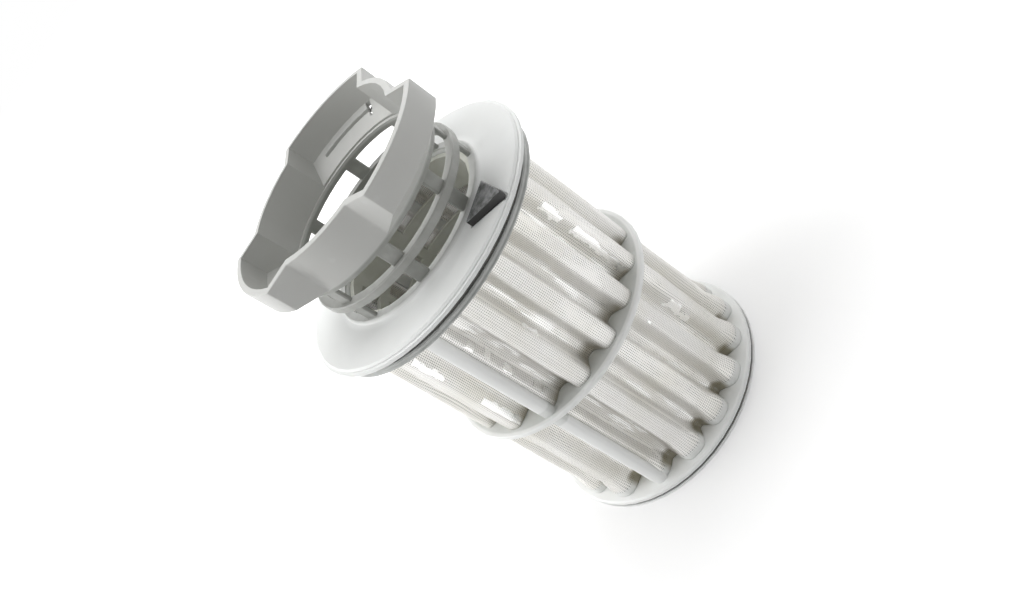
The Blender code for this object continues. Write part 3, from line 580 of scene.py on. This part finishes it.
def sheet_row(angles, z, hold, spread, seed):
    """Points round the sheet at one height. Hold, from 0 to 1, lets them sway; spread moves them out."""
    squareness = PLEAT_END_SQUARENESS + (PLEAT_SQUARENESS - PLEAT_END_SQUARENESS) * smooth_step(hold)
    points = []
    for angle in angles:
        flat = direction(angle)
        around = flat.to_3d()
        sway = noise.noise(around * SWAY_AROUND + Vector((seed, 0.0, z * SWAY_ALONG)))
        dent = noise.noise(around * DENT_AROUND + Vector((seed, seed, z * DENT_ALONG))) - DENT_SHIFT
        radius = pleat_radius(angle + SWAY * hold * sway, squareness) + DENT_DEPTH * hold * dent
        place = flat * radius
        if spread > 0.0:
            place = place + outward(angle, squareness) * spread
        points.append((*place, z))
    return points


def woven_sheet(name, node, material, seed, flare):
    """Pleated sheet in place of a tier's solid, slightly uneven, its UVs in millimetres of mesh."""
    low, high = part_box(node)
    count = round(WEAVE_STEPS * 360.0 / PLEAT_ANGLE)
    angles = [FIRST_CREST_ANGLE + 360.0 * index / count for index in range(count)]
    length = [0.0]
    for index in range(count):
        step = outline_point(angles[(index + 1) % count]) - outline_point(angles[index])
        length.append(length[-1] + step.length)
    bm = bmesh.new()
    uv = bm.loops.layers.uv.new("UVMap")
    rows = []
    for row in range(WEAVE_ROWS + 1):
        share = row / WEAVE_ROWS
        z = low.z - WEAVE_TUCK + (high.z - low.z + 2 * WEAVE_TUCK) * share
        hold = min(1.0, min(share, 1.0 - share) / WEAVE_END_SHARE)
        spread = flare * smooth_step((low.z + FOOT_HEIGHT - z) / (FOOT_HEIGHT - FOOT_FULL))
        points = sheet_row(angles, z, hold, spread, seed)
        rows.append((z, [bm.verts.new(point) for point in points]))
    for (z0, lower), (z1, upper) in zip(rows, rows[1:]):
        for index in range(count):
            following = (index + 1) % count
            face = bm.faces.new((lower[index], lower[following], upper[following], upper[index]))
            face.smooth = True
            around = (length[index], length[index + 1], length[index + 1], length[index])
            for loop, u, v in zip(face.loops, around, (z0, z0, z1, z1)):
                loop[uv].uv = (u / MM, v / MM)
    mesh = bpy.data.meshes.new(name)
    bm.to_mesh(mesh)
    bm.free()
    sheet = bpy.data.objects.new(name, mesh)
    bpy.context.scene.collection.objects.link(sheet)
    sheet.data.materials.append(material)
    solidify = sheet.modifiers.new("Thickness", "SOLIDIFY")
    solidify.thickness = WEAVE_THICKNESS
    solidify.offset = -1.0
    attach(sheet, "micro_filter")
    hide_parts(node)


def ring_joint(material):
    """Thin band that closes the joint between the two halves of the middle ring."""
    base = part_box("lower_frame")[1].z - JOINT_MARGIN
    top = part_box("upper_frame")[0].z + JOINT_MARGIN
    inner = JOINT_RADIUS - JOINT_WALL
    profile = [(inner, top), (JOINT_RADIUS, top), (JOINT_RADIUS, base), (inner, base)]
    mesh = bpy.data.meshes.new("ring_joint")
    mesh.from_pydata([(radius, 0.0, z) for radius, z in profile], [(0, 1), (1, 2), (2, 3), (3, 0)], [])
    band = bpy.data.objects.new("ring_joint", mesh)
    bpy.context.scene.collection.objects.link(band)
    screw = band.modifiers.new("Turn", "SCREW")
    screw.steps = JOINT_STEPS
    screw.render_steps = JOINT_STEPS
    screw.use_merge_vertices = True
    screw.merge_threshold = WELD_DISTANCE
    band.data.materials.append(material)
    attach(band, "micro_filter")


def slit_dirt(material):
    """Lump of dark dirt in the foot of the spring tongue's slit."""
    bpy.ops.mesh.primitive_ico_sphere_add(subdivisions=SLIT_DIRT_DETAIL, radius=0.5)
    lump = bpy.context.object
    lump.name = "slit_dirt"
    for vert in lump.data.vertices:
        vert.co *= 1.0 + SLIT_DIRT_ROUGHNESS * noise.noise(vert.co * SLIT_DIRT_LUMPS)
        vert.co = Vector((vert.co[axis] * SLIT_DIRT_SIZE[axis] for axis in range(3)))
    spot = Vector((*(direction(SLIT_DIRT_ANGLE) * SLIT_DIRT_RADIUS), SLIT_DIRT_HEIGHT))
    turn = Matrix.Rotation(math.radians(SLIT_DIRT_ANGLE), 4, "Z")
    lump.matrix_world = Matrix.Translation(spot) @ turn
    lump.data.materials.append(material)
    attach(lump, "strainer")


def dress(node, material):
    """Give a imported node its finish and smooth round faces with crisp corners."""
    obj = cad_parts[node]
    obj.data.materials.clear()
    obj.data.materials.append(material)
    for face in obj.data.polygons:
        face.use_smooth = True
    weld = obj.modifiers.new("Weld", "WELD")
    weld.merge_threshold = WELD_DISTANCE
    split = obj.modifiers.new("Corners", "EDGE_SPLIT")
    split.split_angle = math.radians(CORNER_ANGLE)


def area_light(name, place, target, size, power):
    """Soft square lamp that faces a point."""
    light = bpy.data.lights.new(name, "AREA")
    light.shape = "SQUARE"
    light.size = size
    light.energy = power
    lamp = bpy.data.objects.new(name, light)
    bpy.context.scene.collection.objects.link(lamp)
    lamp.location = place
    lamp.visible_camera = False
    lamp.rotation_euler = (target - place).to_track_quat("-Z", "Y").to_euler()


def seen_directly(tree):
    """One for rays that show the background: camera, glossy and transmission rays."""
    path = tree.nodes.new("ShaderNodeLightPath")
    total = math_node(tree, "ADD", path.outputs["Is Camera Ray"], path.outputs["Is Glossy Ray"])
    return math_node(tree, "ADD", total, path.outputs["Is Transmission Ray"], clamp=True)


def make_world():
    """White to the eye, a weak grey fill as light."""
    world = bpy.data.worlds.new("studio")
    bpy.context.scene.world = world
    world.use_nodes = True
    tree = world.node_tree
    background = tree.nodes["Background"]
    background.inputs["Color"].default_value = (*WHITE, 1.0)
    rise = math_node(tree, "MULTIPLY", seen_directly(tree), 1.0 - WORLD_FILL)
    tree.links.new(math_node(tree, "ADD", rise, WORLD_FILL), background.inputs["Strength"])


def make_floor():
    """Plain pale floor that looks white where no shadow falls."""
    bpy.ops.mesh.primitive_plane_add(size=FLOOR_SIZE, location=(0.0, 0.0, -FLOOR_DROP))
    floor = bpy.context.object
    floor.name = "floor"
    material = bpy.data.materials.new("floor")
    material.use_nodes = True
    tree = material.node_tree
    tree.nodes.remove(tree.nodes["Principled BSDF"])
    shown = mix_colour(tree, seen_directly(tree), (FLOOR_BOUNCE,) * 3, (FLOOR_COLOUR,) * 3)
    diffuse = add_node(tree, "ShaderNodeBsdfDiffuse", Color=shown)
    reach = length_socket(tree, tree.nodes.new("ShaderNodeNewGeometry").outputs["Position"])
    spread = add_node(tree, "ShaderNodeMapRange", Value=reach, From_Min=FLOOR_NEAR, From_Max=FLOOR_FAR,
                      To_Min=FLOOR_GLOW, To_Max=1.0)
    glow = add_node(tree, "ShaderNodeEmission", Color=(*WHITE, 1.0))
    tree.links.new(math_node(tree, "MULTIPLY", seen_directly(tree), spread.outputs["Result"]),
                   glow.inputs["Strength"])
    total = tree.nodes.new("ShaderNodeAddShader")
    tree.links.new(diffuse.outputs[0], total.inputs[0])
    tree.links.new(glow.outputs[0], total.inputs[1])
    tree.links.new(total.outputs[0], tree.nodes["Material Output"].inputs["Surface"])
    floor.data.materials.append(material)


def make_camera():
    """Camera at the photograph's viewing angle, rolled as the photograph is."""
    elevation, roll = math.radians(CAMERA_ELEVATION), math.radians(CAMERA_ROLL)
    forward = Vector((0.0, math.cos(elevation), -math.sin(elevation)))
    level = Vector((1.0, 0.0, 0.0))
    raised = level.cross(forward)
    right = level * math.cos(roll) + raised * math.sin(roll)
    up = raised * math.cos(roll) - level * math.sin(roll)
    data = bpy.data.cameras.new("camera")
    data.lens = CAMERA_LENS
    data.sensor_width = CAMERA_SENSOR
    data.sensor_fit = "HORIZONTAL"
    camera = bpy.data.objects.new("camera", data)
    bpy.context.scene.collection.objects.link(camera)
    turn = Matrix((right, up, -forward)).transposed().to_4x4()
    camera.matrix_world = Matrix.Translation(CAMERA_PLACE) @ turn
    bpy.context.scene.camera = camera


def make_lights():
    """Large soft lamps behind on both sides and above, with weak low ones on the camera's side."""
    middle = Vector(OBJECT_MIDDLE)
    for name, azimuth, elevation, width, power in LAMPS:
        lift = math.radians(elevation)
        way = Vector((*(direction(azimuth) * math.cos(lift)), math.sin(lift)))
        area_light(name, middle + way * LAMP_DISTANCE, middle, width, power)


strainer_plastic = moulded_plastic("strainer_plastic", *STRAINER_PLASTIC,
                                   [GRIP_SHADE, CAGE_GRIME_AND_SHADE, FLANGE_HAZE])
basket_plastic = moulded_plastic("basket_plastic", *BASKET_PLASTIC, [BASKET_GRIME])
frame_plastic = moulded_plastic("frame_plastic", *FRAME_PLASTIC, [BASE_DIRT_AND_SHADE, RING_FOOT_DARKENING, BAND_SHADE])
seal_rubber = rubber("seal_rubber", *SEAL_RUBBER)
steel_mesh = woven_steel()
dress("strainer_handle", strainer_plastic)
dress("coarse_basket", basket_plastic)
dress("upper_frame", frame_plastic)
dress("lower_frame", frame_plastic)
dress("pointer_arrow", worn_black())
dress("flange_seal", seal_rubber)
dress("bottom_seal", seal_rubber)
woven_sheet("upper_weave", "upper_mesh", steel_mesh, UPPER_SEED, 0.0)
woven_sheet("lower_weave", "lower_mesh", steel_mesh, LOWER_SEED, FOOT_FLARE)
ring_joint(frame_plastic)
slit_dirt(seal_rubber)

make_world()
make_floor()
make_camera()
make_lights()
bpy.context.scene.view_settings.view_transform = "Standard"
